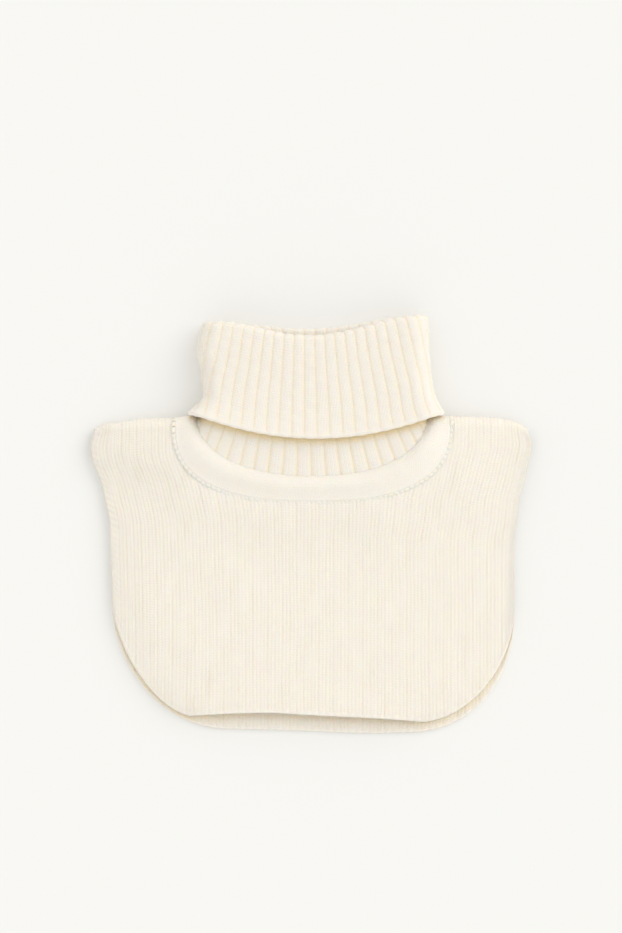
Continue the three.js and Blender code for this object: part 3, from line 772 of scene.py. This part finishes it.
def linking_stitches():
    """The linking seam: a row of loops round the neckline and the short threads that cross to the band."""
    loop = seam_loop()
    length = np.linalg.norm(np.diff(np.vstack([loop, loop[:1]]), axis=0), axis=1).sum()
    count = round(length / LINK_PITCH)
    turns = np.arange(count) / count
    seam, base = seam_and_base(turns)
    ahead, behind = along_loop(loop, 0, turns + SHORT_TURN), along_loop(loop, 0, turns - SHORT_TURN)
    edge_length, edge_width, edge_height, edge_in, edge_up, edge_press = EDGE_LOOP
    cross_length, cross_width, cross_height, cross_in, cross_up, cross_press = CROSS_LOOP
    bm = bmesh.new()
    rng = np.random.default_rng(LOOP_SEED)
    for k in range(count):
        tangent = Vector(ahead[k] - behind[k]).normalized()
        inward = Vector(base[k] - seam[k])
        inward = (inward - tangent * inward.dot(tangent)).normalized()
        up = tangent.cross(inward).normalized()
        press = float(pressed_flat(np.array(up)))
        origin = Vector(seam[k])
        jitter = rng.uniform(-LOOP_UNEVENNESS, LOOP_UNEVENNESS, 3)
        place = origin - inward * (edge_in + jitter[0]) + up * (edge_up + edge_press * press)
        slanted = (tangent + inward * EDGE_SLANT).normalized()
        add_link(bm, place, slanted, up, edge_length, edge_width, edge_height + jitter[1])
        lift = up * (cross_up + cross_press * press)
        place = origin - inward * cross_in + tangent * (LINK_PITCH / 2) + lift
        slanted = (inward + tangent * CROSS_SLANT).normalized()
        add_link(bm, place, slanted, up, cross_length, cross_width + jitter[2], cross_height)
    return finished_piece("linking_stitches", bm)


# Materials

def node(tree, kind, **values):
    made = tree.nodes.new(kind)
    for key, value in values.items():
        setattr(made, key, value)
    return made


def maths(tree, operation, *inputs):
    made = node(tree, "ShaderNodeMath", operation=operation)
    for i, value in enumerate(inputs):
        if isinstance(value, (int, float)):
            made.inputs[i].default_value = value
        else:
            tree.links.new(value, made.inputs[i])
    return made.outputs[0]


def hump(tree, value, low, high):
    """1 half way between low and high, falling to 0 at both."""
    middle, half = (low + high) / 2, (high - low) / 2
    from_middle = maths(tree, "DIVIDE", maths(tree, "SUBTRACT", value, middle), half)
    return maths(tree, "SUBTRACT", 1.0, maths(tree, "MULTIPLY", from_middle, from_middle))


LEG_SLANT = 1.3


def stitch_height(tree):
    """Height of the knit stitches: two slanting legs to a wale, one over the other along the rows."""
    place = node(tree, "ShaderNodeUVMap", uv_map="stitches")
    parts = node(tree, "ShaderNodeSeparateXYZ")
    tree.links.new(place.outputs[0], parts.inputs[0])
    across = maths(tree, "ABSOLUTE", maths(tree, "SUBTRACT", maths(tree, "FRACT", parts.outputs[0]), 0.5))
    slanted = maths(tree, "MULTIPLY", across, LEG_SLANT)
    along = maths(tree, "FRACT", maths(tree, "ADD", parts.outputs[1], slanted))
    leg = hump(tree, across, 0.0, 0.5)
    row = hump(tree, along, 0.0, 1.0)
    return maths(tree, "ADD", maths(tree, "MULTIPLY", leg, 0.5), maths(tree, "MULTIPLY", row, 0.5))


def noise(tree, scale, detail):
    place = node(tree, "ShaderNodeTexCoord")
    made = node(tree, "ShaderNodeTexNoise")
    made.inputs["Scale"].default_value = scale
    made.inputs["Detail"].default_value = detail
    tree.links.new(place.outputs["Object"], made.inputs["Vector"])
    return made.outputs[0]


def mix_colour(tree, share, low, high):
    made = node(tree, "ShaderNodeMix", data_type="RGBA")
    tree.links.new(share, made.inputs[0])
    for value, socket in ((low, made.inputs[6]), (high, made.inputs[7])):
        if isinstance(value, tuple):
            socket.default_value = (*value, 1)
        else:
            tree.links.new(value, socket)
    return made.outputs[2]


# Colours of the wool, one of them a golden painted shade for grooves, gaps between stitches and what lies
# under the hems; the depth of its fuzz beside a stitch's, how grainy the fuzz and the blotches are, and how
# much painted shade lies between stitches
WOOL = (0.905, 0.858, 0.785)
WOOL_PAINTED_SHADE = (0.87, 0.725, 0.465)
WOOL_PALE = (0.93, 0.888, 0.82)
WOOL_WARM = (0.87, 0.785, 0.64)
SHEEN_TINT = (1.0, 0.97, 0.9, 1)
LIGHT_REACH, LIGHT_REACH_MM = (1.0, 0.7, 0.4), 1.2
FUZZ_GRAIN, FUZZ_DEPTH, BLOTCH_GRAIN = 1400, 0.45, 90
SHADE_BETWEEN_STITCHES = 0.25


def wool(name, depth_mm, painted_shade_gain, brightness, colours, has_stitches=True):
    """Cream wool with the fuzz of the yarn and, where it is knitted, its stitches, with golden painted shade
    between the stitches and where the groove attribute is high.
    """
    low, high = (tuple(value * brightness for value in colour) for colour in colours)
    material = bpy.data.materials.new(name)
    material.use_nodes = True
    tree = material.node_tree
    shader = tree.nodes["Principled BSDF"]
    shader.inputs["Roughness"].default_value = 0.92
    shader.inputs["Specular IOR Level"].default_value = 0.12
    shader.inputs["Sheen Weight"].default_value = 0.25
    shader.inputs["Sheen Roughness"].default_value = 0.6
    shader.inputs["Sheen Tint"].default_value = SHEEN_TINT
    shader.inputs["Subsurface Weight"].default_value = 0.4
    shader.inputs["Subsurface Radius"].default_value = LIGHT_REACH
    shader.inputs["Subsurface Scale"].default_value = LIGHT_REACH_MM * MM
    fuzz = noise(tree, FUZZ_GRAIN, 3)
    blotch = noise(tree, BLOTCH_GRAIN, 2)
    colour = mix_colour(tree, blotch, low, high)
    height = maths(tree, "MULTIPLY", fuzz, FUZZ_DEPTH)
    if has_stitches:
        stitch = stitch_height(tree)
        height = maths(tree, "ADD", height, stitch)
        # Painted shade: the gaps between stitches and the points that the groove attribute marks turn towards
        # the golden shade colour
        between = maths(tree, "MULTIPLY", maths(tree, "SUBTRACT", 1.0, stitch), SHADE_BETWEEN_STITCHES)
        groove = node(tree, "ShaderNodeAttribute", attribute_name="groove")
        painted_shade_share = maths(tree, "ADD", between, maths(tree, "MULTIPLY", groove.outputs["Fac"], painted_shade_gain))
        colour = mix_colour(tree, maths(tree, "MINIMUM", painted_shade_share, 1.0), colour, WOOL_PAINTED_SHADE)
    tree.links.new(colour, shader.inputs["Base Color"])
    bump = node(tree, "ShaderNodeBump")
    bump.inputs["Strength"].default_value = 1.0
    bump.inputs["Distance"].default_value = depth_mm * MM
    tree.links.new(height, bump.inputs["Height"])
    tree.links.new(bump.outputs[0], shader.inputs["Normal"])
    return material


def plain(name, colour, roughness):
    material = bpy.data.materials.new(name)
    material.use_nodes = True
    shader = material.node_tree.nodes["Principled BSDF"]
    shader.inputs["Base Color"].default_value = (*colour, 1)
    shader.inputs["Roughness"].default_value = roughness
    return material


PAPER = (0.815, 0.809, 0.78)
PAPER_LIGHT = (0.93, 0.922, 0.883, 1)
PAPER_GLOW = 0.2


def pale_paper():
    """Pale paper that is lit a little from below, so that shadows on it stay light."""
    material = plain("pale_paper", tuple(value * (1 - PAPER_GLOW) for value in PAPER), 0.9)
    shader = material.node_tree.nodes["Principled BSDF"]
    shader.inputs["Emission Color"].default_value = PAPER_LIGHT
    shader.inputs["Emission Strength"].default_value = PAPER_GLOW
    return material


# The pieces

BODY = "root"
front, back, band, tube, links = front_panel(), back_panel(), neck_band(), collar(), linking_stitches()
KNIT_COLOURS = (WOOL, WOOL_PALE)
YARN_COLOURS = (WOOL_WARM, WOOL)
STITCH_DEPTH, YARN_DEPTH = 0.25, 0.15
fine_rib = wool("cream_fine_rib_wool", STITCH_DEPTH, painted_shade_gain=0.24, brightness=0.97, colours=KNIT_COLOURS)
wide_rib = wool("cream_wide_rib_wool", STITCH_DEPTH, painted_shade_gain=0.42, brightness=0.935, colours=KNIT_COLOURS)
jersey = wool("cream_jersey_wool", STITCH_DEPTH, painted_shade_gain=0.4, brightness=0.975, colours=KNIT_COLOURS)
yarn = wool("cream_linking_yarn", YARN_DEPTH, 0, brightness=0.97, colours=YARN_COLOURS, has_stitches=False)
for piece, material, slot in (
    (front, fine_rib, "fine_rib_knit"),
    (back, fine_rib, "fine_rib_knit"),
    (band, jersey, "jersey_knit"),
    (tube, wide_rib, "wide_rib_knit"),
    (links, yarn, "jersey_knit"),
):
    piece.data.materials.append(material)
    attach(piece, BODY)
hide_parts("bib_front")
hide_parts("bib_back")
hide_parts("neck_band")
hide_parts("collar")

# The surface, the light and the camera

FLOOR_SIZE = 6.0
SKY_COLOUR, SKY_STRENGTH = (1.0, 1.0, 0.995, 1), 0.993
KEY_STRENGTH, KEY_ANGLE, KEY_FROM = 0.9, 50, (1.0, 0.7, 0.85)
FRAME_HEIGHT = 0.5598
FRAME_CENTRE = (0.0, 0.0345)
CAMERA_HEIGHT = 4.0
SENSOR_MM = 36

bm = bmesh.new()
bmesh.ops.create_grid(bm, x_segments=1, y_segments=1, size=FLOOR_SIZE / 2)
floor = finished_piece("floor", bm)
floor.data.materials.append(pale_paper())

world = bpy.data.worlds.new("studio")
bpy.context.scene.world = world
world.use_nodes = True
sky = world.node_tree.nodes["Background"]
sky.inputs["Color"].default_value = SKY_COLOUR
sky.inputs["Strength"].default_value = SKY_STRENGTH

key = bpy.data.lights.new("key", "SUN")
key.energy = KEY_STRENGTH
key.angle = math.radians(KEY_ANGLE)
key_object = bpy.data.objects.new("key", key)
key_object.rotation_euler = Vector(KEY_FROM).to_track_quat("Z", "Y").to_euler()
bpy.context.collection.objects.link(key_object)

camera = bpy.data.cameras.new("camera")
camera.sensor_fit = "VERTICAL"
camera.sensor_height = SENSOR_MM
camera.lens = SENSOR_MM * CAMERA_HEIGHT / FRAME_HEIGHT
camera_object = bpy.data.objects.new("camera", camera)
camera_object.location = (*FRAME_CENTRE, CAMERA_HEIGHT)
bpy.context.collection.objects.link(camera_object)
bpy.context.scene.camera = camera_object
bpy.context.scene.view_settings.view_transform = "Standard"
